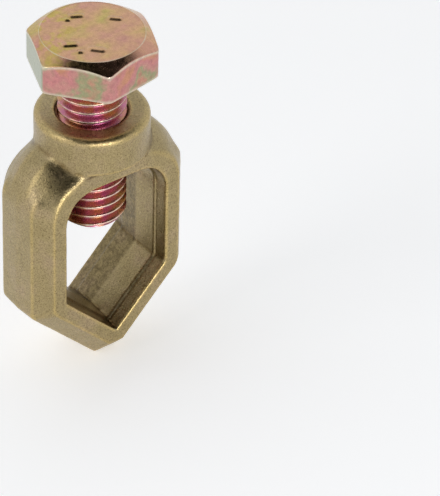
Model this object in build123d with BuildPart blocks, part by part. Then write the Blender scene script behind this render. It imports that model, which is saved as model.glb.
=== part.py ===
from build123d import *
import os
from math import cos, radians, sin, sqrt, tan

# Earth rod clamp: a one-piece cast brass loop that slips over an earth rod, and an M10
# hexagon set screw in its boss that presses the rod into a 90 degree V seat.
# Millimetres. +Z runs up the screw, X across the loop, Y along the rod. The origin is the
# point of the V seat at the rims, midway between the two rims.

# Opening for the rod, measured at the rims
opening_width = 17.5
opening_height = 27.1
opening_corner_radius = 5.0
opening_knee_radius = 2.0
lip_depth = 2.3             # from a rim to the step inside the opening
lip_rise = 0.55             # draft of the opening from the rim to the step
parting_rise = 0.8          # draft of the opening from the rim to mid depth

# Cast loop
body_depth = 12.6
rim_wall = 2.3
rim_shoulder_radius = 6.0
rim_shoulder_drop = 3.8     # from the opening's top to where the shoulder arc meets the side
rim_knee_radius = 2.6
rim_foot_width = 2.4
rim_edge_radius = 0.35
band_width = 7.3            # raised band round the middle of the casting
band_side_rise = 2.15       # how far the band stands off the rim at the sides
band_seat_rise = 2.6        # and under the V seat
band_shoulder_radius = 8.8
band_shoulder_drop = 3.2
band_knee_radius = 1.3
band_foot_width = 4.2
band_crown = 0.2            # draft of the band towards mid depth
shoulder_slope = 29.0       # degrees below horizontal where the shoulder leaves the boss

# Boss for the screw
boss_diameter = 16.8
boss_height = 6.2
boss_rise = 9.2             # top of the boss above the opening
boss_edge_radius = 1.0
bore_mouth_chamfer = 0.5

# M10 x 25 hexagon set screw, threaded to the head; the thread's helix isn't modelled
screw_diameter = 10.0
screw_length = 25.0
screw_point_chamfer = 0.8
head_across_flats = 17.0
head_height = 6.4
head_top_diameter = 15.1
head_chamfer_angle = 33.0
washer_face_diameter = 15.6
washer_face_height = 0.3
head_turn = 9.0             # degrees from +X to the nearest corner of the hexagon
screw_standoff = 6.8        # head above the boss with the screw as it is delivered
screw_clearance = 0.05      # radial, screw to bore

seat_slope = sqrt(2)        # height of the V's point per millimetre of wall, for a 90 degree V
front = body_depth / 2
rim_shoulder_z = opening_height - rim_shoulder_drop
band_shoulder_z = opening_height - band_shoulder_drop
boss_top_z = opening_height + boss_rise


def outer_outline(side_rise, seat_rise, shoulder_radius, shoulder_z, knee_radius, foot_width):
    """Outside of the loop, standing off the opening by the rim's wall and a rise."""
    half_width = opening_width / 2 + rim_wall + side_rise
    v_point_z = -(rim_wall + seat_rise) * seat_slope
    slope = radians(shoulder_slope)
    centre_x = half_width - shoulder_radius
    arc_top = (centre_x + shoulder_radius * sin(slope), shoulder_z + shoulder_radius * cos(slope))
    middle = radians(45 - shoulder_slope / 2)
    arc_middle = (
        centre_x + shoulder_radius * cos(middle),
        shoulder_z + shoulder_radius * sin(middle),
    )
    saddle_x = boss_diameter / 4
    saddle = (saddle_x, arc_top[1] + (arc_top[0] - saddle_x) * tan(slope))
    knee = (half_width, v_point_z + half_width)
    foot = (foot_width / 2, v_point_z + foot_width / 2)
    with BuildLine() as outline:
        Polyline((0, saddle[1]), saddle, arc_top)
        ThreePointArc(arc_top, arc_middle, (half_width, shoulder_z))
        Polyline((half_width, shoulder_z), knee, foot, (0, foot[1]))
        mirror(about=Plane.YZ)
    corners = make_face(outline.edges()).vertices()
    fillet(corners.filter_by(lambda v: abs(v.Y - knee[1]) < 1e-4), radius=knee_radius)


def opening_outline(inset):
    """Inside of the loop, drawn in from the rim's own opening by inset."""
    half_width = opening_width / 2 - inset
    top_z = opening_height - inset
    v_point_z = inset * seat_slope
    knee = (half_width, v_point_z + half_width)
    with BuildLine() as outline:
        Polyline((0, v_point_z), knee, (half_width, top_z), (0, top_z))
        mirror(about=Plane.YZ)
    corners = make_face(outline.edges()).vertices()
    fillet(
        corners.filter_by(lambda v: abs(v.Y - top_z) < 1e-4 and abs(v.X) > 1),
        radius=opening_corner_radius - inset,
    )
    fillet(
        corners.filter_by(lambda v: abs(v.Y - knee[1]) < 1e-4),
        radius=opening_knee_radius,
    )


rim = (0, 0, rim_shoulder_radius, rim_shoulder_z, rim_knee_radius, rim_foot_width)
band_edge = (
    band_side_rise,
    band_seat_rise,
    band_shoulder_radius,
    band_shoulder_z,
    band_knee_radius,
    band_foot_width,
)
band_middle = (
    band_side_rise + band_crown,
    band_seat_rise + band_crown,
    band_shoulder_radius + band_crown,
    band_shoulder_z,
    band_knee_radius,
    band_foot_width,
)

with BuildPart() as clamp_body:
    # Front half of the loop, lofted from mid depth to the front rim, then mirrored
    for depth, station in ((0, band_middle), (band_width / 2, band_edge), (front, rim)):
        with BuildSketch(Plane.XZ.offset(depth)):
            outer_outline(*station)
    loft(ruled=True)
    for depth, inset in ((0, parting_rise), (front - lip_depth, lip_rise), (front, 0)):
        with BuildSketch(Plane.XZ.offset(depth)):
            opening_outline(inset)
    loft(ruled=True, mode=Mode.SUBTRACT)
    mirror(about=Plane.XZ)
    rims = clamp_body.faces().filter_by(Axis.Y).sort_by(Axis.Y)
    fillet(rims[0].edges() + rims[-1].edges(), radius=rim_edge_radius)

    # Boss
    with BuildSketch(Plane.XY.offset(boss_top_z)):
        Circle(boss_diameter / 2)
    extrude(amount=-boss_height)
    boss_top = clamp_body.faces().filter_by(Axis.Z).sort_by(Axis.Z)[-1]
    fillet(boss_top.edges(), radius=boss_edge_radius)

    # Bore for the screw, through the boss into the opening
    with Locations((0, 0, boss_top_z)):
        Hole(
            radius=screw_diameter / 2 + screw_clearance,
            depth=boss_top_z - opening_height + opening_corner_radius,
        )
    mouth = clamp_body.faces().filter_by(Axis.Z).sort_by(Axis.Z)[-1].inner_wires()
    chamfer(mouth.edges(), length=bore_mouth_chamfer)

with BuildPart() as hex_bolt:
    head_z = boss_top_z + screw_standoff
    across_corners_radius = head_across_flats / 2 / cos(radians(30))
    # Hexagon, its top corners turned off by the cone of a revolved profile
    with BuildSketch(Plane.XY.offset(head_z + washer_face_height)):
        RegularPolygon(across_corners_radius, 6, rotation=head_turn)
    extrude(amount=head_height - washer_face_height)
    head_top_radius = head_top_diameter / 2
    blank_radius = across_corners_radius + 1
    blank_drop = (blank_radius - head_top_radius) * tan(radians(head_chamfer_angle))
    with BuildSketch(Plane.XZ):
        with BuildLine():
            Polyline(
                (0, head_z),
                (blank_radius, head_z),
                (blank_radius, head_z + head_height - blank_drop),
                (head_top_radius, head_z + head_height),
                (0, head_z + head_height),
                close=True,
            )
        make_face()
    revolve(axis=Axis.Z, mode=Mode.INTERSECT)
    # Washer face and shank
    with BuildSketch(Plane.XY.offset(head_z)):
        Circle(washer_face_diameter / 2)
    extrude(amount=washer_face_height)
    with BuildSketch(Plane.XY.offset(head_z)):
        Circle(screw_diameter / 2)
    extrude(amount=-screw_length)
    point = hex_bolt.faces().filter_by(Axis.Z).sort_by(Axis.Z)[0]
    chamfer(point.edges(), length=screw_point_chamfer)

clamp_body.part.label = "clamp_body"
hex_bolt.part.label = "hex_bolt"

os.makedirs("parts", exist_ok=True)
export_step(clamp_body.part, "parts/clamp_body.step")
export_step(hex_bolt.part, "parts/hex_bolt.step")
for piece in (clamp_body, hex_bolt):
    box = piece.part.bounding_box()
    print(piece.part.label, round(piece.part.volume), "mm3, valid:", piece.part.is_valid, box)
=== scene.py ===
from math import cos, pi, radians, sin, tan

import bpy
import numpy as np
from mathutils import Matrix, Vector


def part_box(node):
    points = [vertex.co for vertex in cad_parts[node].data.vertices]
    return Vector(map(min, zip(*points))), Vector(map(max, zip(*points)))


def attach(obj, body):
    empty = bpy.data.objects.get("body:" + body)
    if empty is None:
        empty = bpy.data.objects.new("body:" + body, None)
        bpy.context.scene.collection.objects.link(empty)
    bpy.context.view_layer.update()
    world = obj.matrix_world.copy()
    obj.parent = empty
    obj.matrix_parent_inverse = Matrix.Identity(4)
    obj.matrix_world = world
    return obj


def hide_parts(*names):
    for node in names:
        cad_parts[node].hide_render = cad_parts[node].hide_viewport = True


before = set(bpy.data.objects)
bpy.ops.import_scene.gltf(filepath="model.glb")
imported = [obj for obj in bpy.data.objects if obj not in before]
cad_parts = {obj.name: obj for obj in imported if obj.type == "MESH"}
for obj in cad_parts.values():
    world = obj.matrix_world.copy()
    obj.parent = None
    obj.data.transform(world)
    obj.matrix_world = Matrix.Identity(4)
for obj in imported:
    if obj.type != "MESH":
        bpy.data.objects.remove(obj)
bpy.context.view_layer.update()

MM = 0.001
body_low, body_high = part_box("clamp_body")
bolt_low, bolt_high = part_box("hex_bolt")

# Sizes of the screw that its box doesn't give
SCREW_RADIUS = 4.98 * MM
POINT_CHAMFER = 0.8 * MM
THREAD_PITCH = 1.5 * MM
THREAD_DEPTH = 0.87 * MM
THREAD_COLUMNS = 144
THREAD_ROWS_PER_TURN = 22
HEAD_HEIGHT = 6.4 * MM
HEAD_APOTHEM = 8.48 * MM
HEAD_TURN = radians(9)
HEAD_CORNER_SHARPNESS = 36
HEAD_EDGE_RADIUS = 0.14 * MM
HEAD_TOP_RADIUS = 7.5 * MM
HEAD_COLUMNS = 480
HEAD_Z = bolt_high.z - HEAD_HEIGHT
CHAMFER_SLOPE = tan(radians(33))
WASHER_RADIUS = 7.8 * MM
WASHER_HEIGHT = 0.3 * MM
# Half widths on the thread, in turns: crest, root, and the painted highlight along the crest
THREAD_CREST = 0.07
THREAD_ROOT = 0.09
CREST_HIGHLIGHT = 0.065

# The head's face falls off a little towards its edge
FALL_START = 0.8 * HEAD_TOP_RADIUS
FALL_WIDTH = 0.2 * HEAD_TOP_RADIUS
FALL_DEPTH = 0.05 * MM

# Plain raised marks on the head: place in mm, direction in degrees, length and width in mm
MARK_HEIGHT = 0.22 * MM
MARK_EDGE = 0.65 * MM
HEAD_MARKS = (
    ((-4.4, -0.8), 150, 1.3, 1.1),
    ((-4.3, -3.1), 142, 0.2, 0.7),
    ((-2.0, -4.0), 132, 1.3, 1.1),
    ((0.4, 4.5), 150, 1.2, 0.9),
    ((-1.2, 4.4), 142, 0.2, 0.7),
    ((4.5, 0.8), 135, 1.1, 0.8),
)

# Outward direction of the one side of the head whose coating is pale
PALE_FACE = (cos(HEAD_TURN + pi * 5 / 6), sin(HEAD_TURN + pi * 5 / 6), 0)

# Sizes of the casting that its box doesn't give
CAST_VOXEL = 0.25 * MM
BODY_FRONT = 6.3 * MM
BOSS_RADIUS = 8.4 * MM
BOSS_HEIGHT = 6.2 * MM
OPENING_HALF_WIDTH = 8.75 * MM
OPENING_TOP_Z = 27.1 * MM
WALL_REACH = 0.1 * MM
SEAT_TOP_Z = 0.45 * OPENING_TOP_Z
LIP_DEPTH = 2.3 * MM
LEDGE_HEIGHT = 0.24 * MM
LEDGE_SLOPE = 0.25 * MM
PARTING_WIDTH = 0.3 * MM

# The bore and the skin round it stay sharp
BORE_RADIUS = 5.05 * MM
BORE_MARGIN = 0.7 * MM
BORE_LENGTH = 11 * MM

# The soft root of the boss: its width, and how far it stays below the boss's top and above its foot
ROOT_WIDTH = 0.8 * MM
ROOT_BELOW_TOP = 2.2 * MM
ROOT_ABOVE_FOOT = 0.7 * MM

# Hollows at the shoulders, between the raised band and the rims
SHOULDER_X, SHOULDER_Z = 4.4 * MM, 23.9 * MM
BAND_EDGE = 3.65 * MM
SCOOP_START, SCOOP_END = 1.8 * MM, 5.9 * MM
SCOOP_DEPTH = 0.8 * MM
SCOOP_BELOW_TOP = 2.5 * MM
SCOOP_FROM_ANGLE, SCOOP_ANGLE_WIDTH = radians(8), radians(24)

# Sand-cast skin: how deep it is, and each layer's share and size
SKIN_DEPTH = 0.035 * MM
SKIN_LAYERS = ((0.5, 2.6 * MM), (0.3, 1.1 * MM), (0.35, 0.5 * MM))

# How far a vertex stands out from its surroundings where it counts as a sharp edge
HEAD_EDGE_OFFSET = 0.02 * MM
CAST_EDGE_OFFSET = 0.05 * MM

RELAX_WEIGHT = 0.5


def mesh_object(name, verts, faces):
    mesh = bpy.data.meshes.new(name)
    mesh.from_pydata([tuple(v) for v in verts], [], faces)
    mesh.validate()
    mesh.update()
    obj = bpy.data.objects.new(name, mesh)
    bpy.context.scene.collection.objects.link(obj)
    mesh.polygons.foreach_set("use_smooth", [True] * len(mesh.polygons))
    return obj


def lathe(name, rings, columns):
    """A closed surface through rings of points, from a pole at the bottom to one at the top."""
    verts = np.concatenate(rings)
    bottom = len(verts)
    poles = [np.mean(rings[0], axis=0), np.mean(rings[-1], axis=0)]
    verts = np.concatenate([verts, poles])
    faces = []
    for j in range(len(rings) - 1):
        low, high = j * columns, (j + 1) * columns
        for i in range(columns):
            k = (i + 1) % columns
            faces.append((low + i, low + k, high + k, high + i))
    last = (len(rings) - 1) * columns
    for i in range(columns):
        k = (i + 1) % columns
        faces.append((bottom, k, i))
        faces.append((bottom + 1, last + i, last + k))
    return mesh_object(name, verts, faces)


def ring(radius, z, angles):
    z = np.broadcast_to(z, angles.shape)
    return np.stack([radius * np.cos(angles), radius * np.sin(angles), z], 1)


def smooth_step(t):
    t = np.clip(t, 0, 1)
    return t * t * (3 - 2 * t)


def vertex_vectors(mesh, key):
    """The place (co) or the normal of every vertex."""
    vectors = np.empty(len(mesh.vertices) * 3)
    mesh.vertices.foreach_get(key, vectors)
    return vectors.reshape(-1, 3)


def edge_ends(mesh):
    ends = np.empty(len(mesh.edges) * 2, np.int64)
    mesh.edges.foreach_get("vertices", ends)
    return ends.reshape(-1, 2)


def move_vertices(mesh, points):
    mesh.vertices.foreach_set("co", points.ravel())
    mesh.update()


def relax(points, edges, weight, rounds):
    """Moves each point towards the mean of its neighbours, by its weight."""
    a, b = edges[:, 0], edges[:, 1]
    size = len(points)
    count = np.bincount(np.concatenate([a, b]), minlength=size)[:, None]
    for _ in range(rounds):
        total = [
            np.bincount(a, points[b, k], size) + np.bincount(b, points[a, k], size)
            for k in range(3)
        ]
        points = points + weight[:, None] * (np.stack(total, 1) / count - points)
    return points


def paint(mesh, name, value):
    """Gives each vertex a value, which a material reads by this name."""
    layer = mesh.attributes.new(name, "FLOAT", "POINT")
    layer.data.foreach_set("value", value.astype(np.float32))


def paint_edges(mesh, full_offset):
    """Marks each vertex 0 in a hollow, 0.5 where the skin is flat and 1 on a sharp edge."""
    points, normals = vertex_vectors(mesh, "co"), vertex_vectors(mesh, "normal")
    smoothed = relax(points, edge_ends(mesh), np.full(len(points), RELAX_WEIGHT), 4)
    offset = np.sum((points - smoothed) * normals, 1)
    paint(mesh, "edge", 0.5 + np.clip(offset / full_offset, -1, 1) / 2)


# ---------------------------------------------------------------- screw

def bar_mask(x, y, at, along, length, width):
    """1 on a raised bar with round ends, falling to 0 over its sloping edge."""
    ax, ay = cos(along), sin(along)
    dx, dy = x - at[0], y - at[1]
    u = np.clip(dx * ax + dy * ay, -length / 2, length / 2)
    away = np.hypot(dx - u * ax, dy - u * ay)
    return np.clip((width / 2 - away) / MARK_EDGE + 0.5, 0, 1)


def marks_mask(x, y):
    mask = np.zeros_like(x)
    for (at_x, at_y), along, length, width in HEAD_MARKS:
        at = (at_x * MM, at_y * MM)
        bar = bar_mask(x, y, at, radians(along), length * MM, width * MM)
        mask = np.maximum(mask, bar)
    return mask


def head_outline(angles):
    """Radius of the hexagon, its corners slightly rounded."""
    total = np.zeros_like(angles)
    for k in range(6):
        toward_flat = np.cos(angles - HEAD_TURN - pi / 6 - k * pi / 3)
        total += np.maximum(toward_flat, 0) ** HEAD_CORNER_SHARPNESS
    return HEAD_APOTHEM / total ** (1 / HEAD_CORNER_SHARPNESS)


def make_head():
    angles = np.linspace(0, 2 * pi, HEAD_COLUMNS, endpoint=False)
    outline = head_outline(angles)
    face_z = bolt_high.z - MARK_HEIGHT
    edge_z = face_z - np.maximum(outline - HEAD_TOP_RADIUS, 0) * CHAMFER_SLOPE
    side_z = HEAD_Z + WASHER_HEIGHT
    soft = HEAD_EDGE_RADIUS
    # The underside with its washer face
    rings = [
        ring(0.3 * SCREW_RADIUS, HEAD_Z, angles),
        ring(WASHER_RADIUS, HEAD_Z, angles),
        ring(WASHER_RADIUS + 0.02 * MM, side_z, angles),
    ]
    # The sides, between two rounded edges
    for t in np.linspace(0, 1, 5):
        inward = soft * (1 - sin(t * pi / 2))
        rise = soft * (1 - cos(t * pi / 2))
        rings.append(ring(outline - inward, side_z + rise, angles))
    for t in np.linspace(0.15, 0.85, 5):
        z = (1 - t) * (side_z + soft) + t * (edge_z - soft)
        rings.append(ring(outline, z, angles))
    for t in np.linspace(0, 1, 5):
        inward = soft * (1 - cos(t * pi / 2))
        rise = soft * sin(t * pi / 2)
        z = edge_z - soft + rise + inward * CHAMFER_SLOPE
        rings.append(ring(outline - inward, z, angles))
    # The chamfer, and the face with its marks
    for t in np.linspace(0.12, 1, 9):
        radius = (1 - t) * (outline - soft) + t * HEAD_TOP_RADIUS
        drop = np.maximum(radius - HEAD_TOP_RADIUS, 0) * CHAMFER_SLOPE
        rings.append(ring(radius, face_z - drop, angles))
    for radius in np.linspace(HEAD_TOP_RADIUS, 0.2 * MM, 84)[1:]:
        mask = marks_mask(radius * np.cos(angles), radius * np.sin(angles))
        fall = FALL_DEPTH * smooth_step((radius - FALL_START) / FALL_WIDTH)
        z = face_z - fall + 0.97 * MARK_HEIGHT * smooth_step(mask)
        rings.append(ring(radius, z, angles))
    return lathe("bolt_head", rings, HEAD_COLUMNS)


def thread_phase(angles, z):
    """-0.5 to 0.5 across one turn of the right-hand helix, 0 on its crest."""
    turns = (z - bolt_low.z) / THREAD_PITCH - angles / (2 * pi)
    return turns - np.round(turns)


def make_thread():
    angles = np.linspace(0, 2 * pi, THREAD_COLUMNS, endpoint=False)
    rows = THREAD_ROWS_PER_TURN * int((HEAD_Z - bolt_low.z) / THREAD_PITCH)
    flank_width = 0.5 - THREAD_CREST - THREAD_ROOT
    rings = []
    for z in np.linspace(bolt_low.z, HEAD_Z + 0.1 * MM, rows):
        from_crest = np.abs(thread_phase(angles, z))
        flank = np.clip((from_crest - THREAD_CREST) / flank_width, 0, 1)
        rounded = 0.75 * flank + 0.25 * smooth_step(flank)
        radius = SCREW_RADIUS - THREAD_DEPTH * rounded
        point = SCREW_RADIUS - POINT_CHAMFER + (z - bolt_low.z)
        rings.append(ring(np.minimum(radius, point), z, angles))
    return lathe("bolt_thread", rings, THREAD_COLUMNS)


# ---------------------------------------------------------------- casting

def remeshed_copy(source, name):
    """A new object with the source's shape in one even, smooth-shaded mesh."""
    work = bpy.data.objects.new(name, source.data.copy())
    bpy.context.scene.collection.objects.link(work)
    modifier = work.modifiers.new("REMESH", "REMESH")
    modifier.mode = "VOXEL"
    modifier.voxel_size = CAST_VOXEL
    modifier.use_smooth_shade = True
    bpy.context.view_layer.update()
    depsgraph = bpy.context.evaluated_depsgraph_get()
    mesh = bpy.data.meshes.new_from_object(work.evaluated_get(depsgraph))
    work.modifiers.clear()
    work.data = mesh
    return work


def value_noise(points, size, seed):
    """Smooth noise from -1 to 1 with features about size across."""
    grid = points / size
    base = np.floor(grid).astype(np.int64)
    blend = smooth_step(grid - base)
    out = np.zeros(len(points))
    for corner in range(8):
        step = np.array([corner & 1, corner >> 1 & 1, corner >> 2 & 1])
        cell = base + step
        # A hash of the cell and the seed
        key = (cell[:, 0] * 73856093) ^ (cell[:, 1] * 19349663) ^ (cell[:, 2] * 83492791)
        key = key ^ (seed * 2654435761)
        key = (key ^ (key >> 13)) * 1274126177
        value = ((key ^ (key >> 16)) & 0xFFFF) / 0x8000 - 1
        share = np.prod(np.where(step, blend, 1 - blend), axis=1)
        out += share * value
    return out


def soften(points, edges, in_bore):
    """Soft cast edges all over, and a larger radius where the boss runs into the shoulders."""
    z = points[:, 2]
    boss_foot_z = body_high.z - BOSS_HEIGHT
    from_boss = np.hypot(points[:, 0], points[:, 1]) - BOSS_RADIUS
    root = np.exp(-((from_boss / ROOT_WIDTH) ** 2))
    root *= (z < body_high.z - ROOT_BELOW_TOP) & (z > boss_foot_z + ROOT_ABOVE_FOOT)
    points = relax(points, edges, RELAX_WEIGHT * ~in_bore, 1)
    return relax(points, edges, RELAX_WEIGHT * root * ~in_bore, 8)


def shoulder_angle(points):
    """Angle of each point round the middle of its shoulder's arc, seen from the front."""
    return np.arctan2(points[:, 2] - SHOULDER_Z, np.abs(points[:, 0]) - SHOULDER_X)


def in_scoop(points):
    """1 on the shoulders beside the boss, falling to 0 round them."""
    from_axis = np.hypot(points[:, 0], points[:, 1])
    share = smooth_step((shoulder_angle(points) - SCOOP_FROM_ANGLE) / SCOOP_ANGLE_WIDTH)
    share *= smooth_step((from_axis - BOSS_RADIUS + 0.1 * MM) / (0.5 * MM))
    return share * (points[:, 2] < body_high.z - SCOOP_BELOW_TOP)


def scoop_shoulders(points, normals):
    """Hollows the corners between the band and the rims at the four shoulders."""
    angle = shoulder_angle(points)
    outward = np.stack([np.sign(points[:, 0]) * np.cos(angle), 0 * angle, np.sin(angle)], 1)
    side = np.abs(points[:, 1])
    across = np.clip((side - SCOOP_START) / (BAND_EDGE - SCOOP_START), 0, 1)
    across *= np.clip((SCOOP_END - side) / (SCOOP_END - BAND_EDGE), 0, 1)
    outside = np.sum(outward * normals, 1) > 0.15
    return points - outward * (SCOOP_DEPTH * across * outside * in_scoop(points))[:, None]


def rough_half(points, normals):
    """1 on the walls of the opening behind the parting line, whose skin is rougher and darker."""
    seat = (normals[:, 2] > 0.3) & (points[:, 2] < SEAT_TOP_Z)
    sides = normals[:, 0] * points[:, 0] < 0
    walls = (np.abs(points[:, 0]) < OPENING_HALF_WIDTH + WALL_REACH) & (seat | sides)
    behind = np.clip(points[:, 1] / PARTING_WIDTH, 0, 1) * (np.abs(normals[:, 1]) < 0.7)
    return behind * (walls & (points[:, 2] < OPENING_TOP_Z))


def raise_ledge(points, normals):
    """A small ledge inside the opening, where the lip behind each rim meets the drafted wall."""
    depth_in = BODY_FRONT - np.abs(points[:, 1])
    lip = np.clip((LIP_DEPTH - depth_in) / LEDGE_SLOPE, 0, 1)
    lip = lip * np.clip(depth_in / LIP_DEPTH, 0, 1)
    centre = np.array([0, 0, 0.5 * (body_low.z + body_high.z) - 1.5 * MM])
    inward = np.sum((centre - points) * normals, 1) > 0
    inside = np.abs(points[:, 0]) < OPENING_HALF_WIDTH + WALL_REACH
    inside &= points[:, 2] < OPENING_TOP_Z + WALL_REACH
    walls = inward & inside & (np.abs(normals[:, 1]) < 0.6)
    return points - normals * (LEDGE_HEIGHT * lip * walls)[:, None]


def press_skin(points, normals, in_bore):
    """Uneven sand-cast skin, pressed in from the nominal surface."""
    skin = sum(
        share * value_noise(points, size, seed)
        for seed, (share, size) in enumerate(SKIN_LAYERS, 1)
    )
    depth = SKIN_DEPTH * (0.8 - skin) * ~in_bore
    return points - normals * np.maximum(depth, 0)[:, None]


def make_casting():
    obj = remeshed_copy(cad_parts["clamp_body"], "cast_body")
    mesh = obj.data
    points, edges = vertex_vectors(mesh, "co"), edge_ends(mesh)
    in_bore = np.hypot(points[:, 0], points[:, 1]) < BORE_RADIUS + BORE_MARGIN
    in_bore &= points[:, 2] > body_high.z - BORE_LENGTH
    points = soften(points, edges, in_bore)
    move_vertices(mesh, points)
    normals = vertex_vectors(mesh, "normal")
    scoop_weight = RELAX_WEIGHT * in_scoop(points)
    points = relax(scoop_shoulders(points, normals), edges, scoop_weight, 9)
    move_vertices(mesh, points)
    # The edge value drives the brass's painted highlights on sharp edges and painted shade in
    # hollows
    paint_edges(mesh, CAST_EDGE_OFFSET)
    paint(mesh, "rough", rough_half(points, normals))
    points = raise_ledge(points, normals)
    move_vertices(mesh, press_skin(points, normals, in_bore))
    mesh.polygons.foreach_set("use_smooth", [True] * len(mesh.polygons))
    return obj


# ---------------------------------------------------------------- materials

class Nodes:
    """Short names for the nodes that the materials use."""

    def __init__(self, name, metallic=0.0):
        self.material = bpy.data.materials.new(name)
        self.material.use_nodes = True
        self.tree = self.material.node_tree
        self.shader = self.tree.nodes["Principled BSDF"]
        self.shader.inputs["Metallic"].default_value = metallic
        self.place = self.tree.nodes.new("ShaderNodeTexCoord").outputs["Object"]

    def link(self, a, b):
        self.tree.links.new(a, b)

    def colour(self, value):
        self.link(value, self.shader.inputs["Base Color"])

    def roughness(self, size, detail, low, high):
        """Roughness from low to high, in patches about size across."""
        value = self.spread(self.noise(size, detail), 0.3, 0.7, low, high)
        self.link(value, self.shader.inputs["Roughness"])

    def noise(self, size, detail=3.0, roughness=0.6):
        """Noise with features about size across, in metres."""
        node = self.tree.nodes.new("ShaderNodeTexNoise")
        node.inputs["Scale"].default_value = 1 / size
        node.inputs["Detail"].default_value = detail
        node.inputs["Roughness"].default_value = roughness
        self.link(self.place, node.inputs["Vector"])
        return node.outputs["Fac"]

    def ramp(self, value, stops):
        node = self.tree.nodes.new("ShaderNodeValToRGB")
        bar = node.color_ramp.elements
        while len(bar) < len(stops):
            bar.new(0.5)
        for element, (position, colour) in zip(bar, stops):
            element.position = position
            element.color = (*colour, 1)
        self.link(value, node.inputs["Fac"])
        return node.outputs["Color"]

    def spread(self, value, low, high, out_low, out_high):
        """The value's range from low to high, laid out from out_low to out_high."""
        node = self.tree.nodes.new("ShaderNodeMapRange")
        limits = {"From Min": low, "From Max": high, "To Min": out_low, "To Max": out_high}
        for key, number in limits.items():
            node.inputs[key].default_value = number
        self.link(value, node.inputs["Value"])
        return node.outputs["Result"]

    def mix(self, factor, a, b, kind="MIX"):
        node = self.tree.nodes.new("ShaderNodeMix")
        node.data_type = "RGBA"
        node.blend_type = kind
        colours = {s.name: s for s in node.inputs if s.type == "RGBA"}
        for socket, value in ((node.inputs[0], factor), (colours["A"], a), (colours["B"], b)):
            if isinstance(value, tuple):
                socket.default_value = (*value, 1)
            elif isinstance(value, (int, float)):
                socket.default_value = value
            else:
                self.link(value, socket)
        return [s for s in node.outputs if s.type == "RGBA"][0]

    def multiply(self, a, b):
        return self.mix(1.0, a, b, "MULTIPLY")

    def painted(self, name):
        """The value that a piece's mesh carries under this name."""
        node = self.tree.nodes.new("ShaderNodeAttribute")
        node.attribute_name = name
        return node.outputs["Fac"]

    def along(self, vector, direction):
        node = self.tree.nodes.new("ShaderNodeVectorMath")
        node.operation = "DOT_PRODUCT"
        node.inputs[1].default_value = direction
        self.link(vector, node.inputs[0])
        return node.outputs["Value"]

    def bump(self, height, distance, strength):
        node = self.tree.nodes.new("ShaderNodeBump")
        node.inputs["Distance"].default_value = distance
        node.inputs["Strength"].default_value = strength
        self.link(height, node.inputs["Height"])
        self.link(node.outputs["Normal"], self.shader.inputs["Normal"])


def brass_material():
    """Cast brass: a fine dark grain, painted highlights on sharp edges, painted shade in hollows,
    and a dull crust on the rough half.
    """
    n = Nodes("cast_brass", metallic=1.0)
    tone = n.ramp(
        n.noise(4 * MM, 4),
        [(0.3, (0.345, 0.270, 0.135)), (0.5, (0.375, 0.295, 0.155)), (0.72, (0.40, 0.305, 0.185))],
    )
    grain = n.ramp(
        n.noise(0.2 * MM, 3, 0.65),
        [(0.3, (0.50, 0.46, 0.40)), (0.46, (0.93, 0.93, 0.91)), (0.7, (1.28, 1.26, 1.20))],
    )
    # Painted highlights on sharp edges and painted shade in hollows, read from the edge value
    edge_highlight_and_hollow_shade = n.ramp(
        n.painted("edge"),
        [
            (0.28, (0.55, 0.50, 0.42)),
            (0.46, (1, 1, 1)),
            (0.56, (1, 1, 1)),
            (0.80, (1.38, 1.33, 1.12)),
        ],
    )
    crust = n.ramp(n.noise(0.6 * MM, 3), [(0.35, (0.42, 0.40, 0.38)), (0.65, (0.74, 0.72, 0.68))])
    colour = n.multiply(n.multiply(tone, grain), edge_highlight_and_hollow_shade)
    n.colour(n.mix(n.painted("rough"), colour, n.multiply(colour, crust)))
    n.roughness(0.5 * MM, 2, 0.26, 0.40)
    n.bump(n.noise(0.24 * MM, 3, 0.65), 0.06 * MM, 0.7)
    return n.material


def zinc_material():
    """Yellow passivated zinc: tan and gold on top, pink and green on the sides, and pale on one."""
    n = Nodes("yellow_zinc", metallic=1.0)
    patches = n.noise(4.5 * MM, 3, 0.5)
    top = n.ramp(
        patches,
        [
            (0.30, (0.60, 0.30, 0.25)),
            (0.44, (0.63, 0.36, 0.23)),
            (0.56, (0.64, 0.40, 0.21)),
            (0.70, (0.55, 0.44, 0.15)),
        ],
    )
    sides = n.ramp(
        patches,
        [
            (0.34, (0.58, 0.28, 0.18)),
            (0.44, (0.57, 0.24, 0.24)),
            (0.55, (0.54, 0.28, 0.24)),
            (0.62, (0.34, 0.35, 0.20)),
            (0.70, (0.55, 0.27, 0.20)),
        ],
    )
    # Olive patches towards one side of the top
    olive = n.mix(n.spread(n.noise(2.6 * MM, 2), 0.46, 0.58, 0, 1), top, (0.56, 0.43, 0.11))
    top = n.mix(n.spread(n.along(n.place, (-0.79, 0.61, 0)), 0.0, 4 * MM, 0, 0.9), top, olive)
    normal = n.tree.nodes.new("ShaderNodeTexCoord").outputs["Normal"]
    up = n.spread(n.along(normal, (0, 0, 1)), 0.3, 0.9, 0, 1)
    pale = n.spread(n.along(normal, PALE_FACE), 0.88, 0.97, 0, 1)
    tint = n.mix(up, sides, top)
    tint = n.mix(pale, tint, (0.36, 0.39, 0.28))
    # Painted highlight on sharp edges, and painted shade in hollows
    edge = n.painted("edge")
    tint = n.mix(n.spread(edge, 0.72, 0.98, 0, 0.75), tint, (0.70, 0.64, 0.50))
    tint = n.mix(n.spread(edge, 0.38, 0.15, 0, 0.5), tint, (0.10, 0.06, 0.03))
    cloud = n.ramp(
        n.noise(0.7 * MM, 4, 0.7), [(0.3, (0.80, 0.79, 0.78)), (0.6, (1.06, 1.05, 1.02))]
    )
    n.colour(n.multiply(tint, cloud))
    n.roughness(0.7 * MM, 3, 0.16, 0.30)
    n.bump(n.noise(0.35 * MM, 3, 0.6), 0.02 * MM, 0.35)
    return n.material


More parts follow.
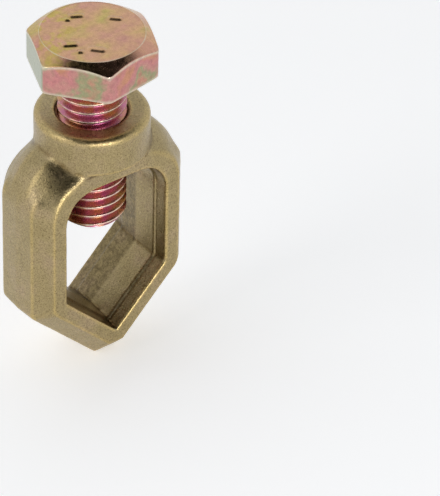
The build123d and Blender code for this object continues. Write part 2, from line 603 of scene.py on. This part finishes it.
def thread_material():
    """The same coating on the thread, where it is deep red and magenta."""
    n = Nodes("yellow_zinc_thread", metallic=1.0)
    tint = n.ramp(
        n.noise(3 * MM, 3, 0.55),
        [
            (0.3, (0.51, 0.18, 0.32)),
            (0.45, (0.52, 0.20, 0.26)),
            (0.56, (0.52, 0.23, 0.18)),
            (0.7, (0.56, 0.34, 0.15)),
        ],
    )
    n.colour(tint)
    n.roughness(0.5 * MM, 3, 0.18, 0.34)
    n.bump(n.noise(0.3 * MM, 3, 0.6), 0.02 * MM, 0.25)
    return n.material


def crest_highlight_material():
    """Painted highlights along the thread's crests, pale on the coating's colour."""
    n = Nodes("yellow_zinc_crest_highlight", metallic=1.0)
    tint = n.ramp(n.noise(2 * MM, 3), [(0.35, (0.72, 0.50, 0.40)), (0.65, (0.78, 0.66, 0.50))])
    n.colour(tint)
    n.roughness(0.4 * MM, 2, 0.22, 0.34)
    return n.material


def paint_thread(obj):
    """Deep red flanks and roots, painted highlights on the crests."""
    obj.data.materials.append(thread_material())
    obj.data.materials.append(crest_highlight_material())
    for face in obj.data.polygons:
        centre = face.center
        phase = thread_phase(np.arctan2(centre.y, centre.x), centre.z)
        # Faces near each crest get the painted highlight
        face.material_index = 1 if abs(phase) < CREST_HIGHLIGHT else 0


# ---------------------------------------------------------------- the clamp

head = make_head()
# The edge value drives the head's painted highlights on sharp edges and painted shade in hollows
paint_edges(head.data, HEAD_EDGE_OFFSET)
head.data.materials.append(zinc_material())
thread = make_thread()
paint_thread(thread)
for piece in (head, thread):
    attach(piece, "bolt")
    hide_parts("hex_bolt")

casting = make_casting()
casting.data.materials.clear()
casting.data.materials.append(brass_material())
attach(casting, "clamp")
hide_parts("clamp_body")


# ---------------------------------------------------------------- studio

FLOOR_HALF_WIDTH = 3
FLOOR_GLOW = 0.42
STUDIO_COLOUR = (0.86, 0.88, 0.91)
GAP_COLOUR = (0.02, 0.02, 0.018)
# Dark gaps in the studio, in degrees: azimuth, elevation, and the radii across their soft edge
STUDIO_GAPS = ((-55, 52, 24, 40), (2, 70, 26, 56))
LIGHT_AIM = (0, 0, 0.02)


def emission_card(name, at, size, strength):
    light = bpy.data.lights.new(name, "AREA")
    light.shape = "RECTANGLE"
    light.size, light.size_y = size
    light.energy = strength
    obj = bpy.data.objects.new(name, light)
    obj.location = at
    aim = Vector(LIGHT_AIM) - Vector(at)
    obj.rotation_euler = aim.to_track_quat("-Z", "Y").to_euler()
    bpy.context.scene.collection.objects.link(obj)


def make_floor():
    """A pale floor that glows a little, so that the shadow on it stays light."""
    corners = ((-1, -1), (1, -1), (1, 1), (-1, 1))
    floor = mesh_object(
        "floor",
        [(x * FLOOR_HALF_WIDTH, y * FLOOR_HALF_WIDTH, body_low.z) for x, y in corners],
        [(0, 1, 2, 3)],
    )
    n = Nodes("floor_paint")
    n.colour(n.ramp(n.noise(0.4), [(0.3, (0.93, 0.93, 0.93)), (0.7, (0.95, 0.95, 0.95))]))
    n.shader.inputs["Roughness"].default_value = 0.9
    n.shader.inputs["Specular IOR Level"].default_value = 0.0
    n.shader.inputs["Emission Color"].default_value = (1, 1, 1, 1)
    n.shader.inputs["Emission Strength"].default_value = FLOOR_GLOW
    floor.data.materials.append(n.material)


def make_world():
    """A bright studio with dark gaps, high up in front of the clamp."""
    world = bpy.data.worlds.new("studio")
    world.use_nodes = True
    tree = world.node_tree
    direction = tree.nodes.new("ShaderNodeTexCoord").outputs["Generated"]
    background = tree.nodes["Background"]
    background.inputs["Strength"].default_value = 1.0
    light = None
    for gap in STUDIO_GAPS:
        az, el, inner, outer = [radians(angle) for angle in gap]
        toward_gap = tree.nodes.new("ShaderNodeVectorMath")
        toward_gap.operation = "DOT_PRODUCT"
        toward_gap.inputs[1].default_value = (sin(az) * cos(el), -cos(az) * cos(el), sin(el))
        tree.links.new(direction, toward_gap.inputs[0])
        ramp = tree.nodes.new("ShaderNodeValToRGB")
        ramp.color_ramp.interpolation = "EASE"
        first, last = ramp.color_ramp.elements
        first.position, first.color = cos(outer), (1, 1, 1, 1)
        last.position, last.color = cos(inner), (*GAP_COLOUR, 1)
        tree.links.new(toward_gap.outputs["Value"], ramp.inputs["Fac"])
        scale = tree.nodes.new("ShaderNodeVectorMath")
        scale.operation = "MULTIPLY"
        scale.inputs[1].default_value = STUDIO_COLOUR
        if light:
            tree.links.new(light, scale.inputs[1])
        tree.links.new(ramp.outputs["Color"], scale.inputs[0])
        light = scale.outputs["Vector"]
    tree.links.new(light, background.inputs["Color"])
    bpy.context.scene.world = world


# Camera: a long lens, above the clamp and to the left of its front
CAMERA_AZIMUTH = radians(-37.9)
CAMERA_ELEVATION = radians(37.3)
CAMERA_ROLL = radians(1.5)
CAMERA_DISTANCE = 0.592
CAMERA_AIM = Vector((7.7, -20.5, 20.5)) * MM
CAMERA_LENS = 341
CAMERA_SENSOR = 36


def make_camera():
    data = bpy.data.cameras.new("camera")
    data.sensor_fit = "HORIZONTAL"
    data.sensor_width = CAMERA_SENSOR
    data.lens = CAMERA_LENS
    data.clip_start, data.clip_end = 0.01, 20
    camera = bpy.data.objects.new("camera", data)
    bpy.context.scene.collection.objects.link(camera)
    az, el = CAMERA_AZIMUTH, CAMERA_ELEVATION
    back = Vector((sin(az) * cos(el), -cos(az) * cos(el), sin(el)))
    right = Vector((cos(az), sin(az), 0))
    up = back.cross(right)
    turn = Matrix((right, up, back)).transposed()
    camera.rotation_euler = (turn @ Matrix.Rotation(CAMERA_ROLL, 3, "Z")).to_euler()
    camera.location = CAMERA_AIM + back * CAMERA_DISTANCE
    bpy.context.scene.camera = camera


make_floor()
make_world()
emission_card("side_light", (-0.5, 0.05, 0.3), (0.25, 0.4), 0.5)
emission_card("front_light", (-0.12, -0.5, 0.08), (0.3, 0.12), 0.8)
make_camera()
bpy.context.scene.view_settings.view_transform = "Standard"
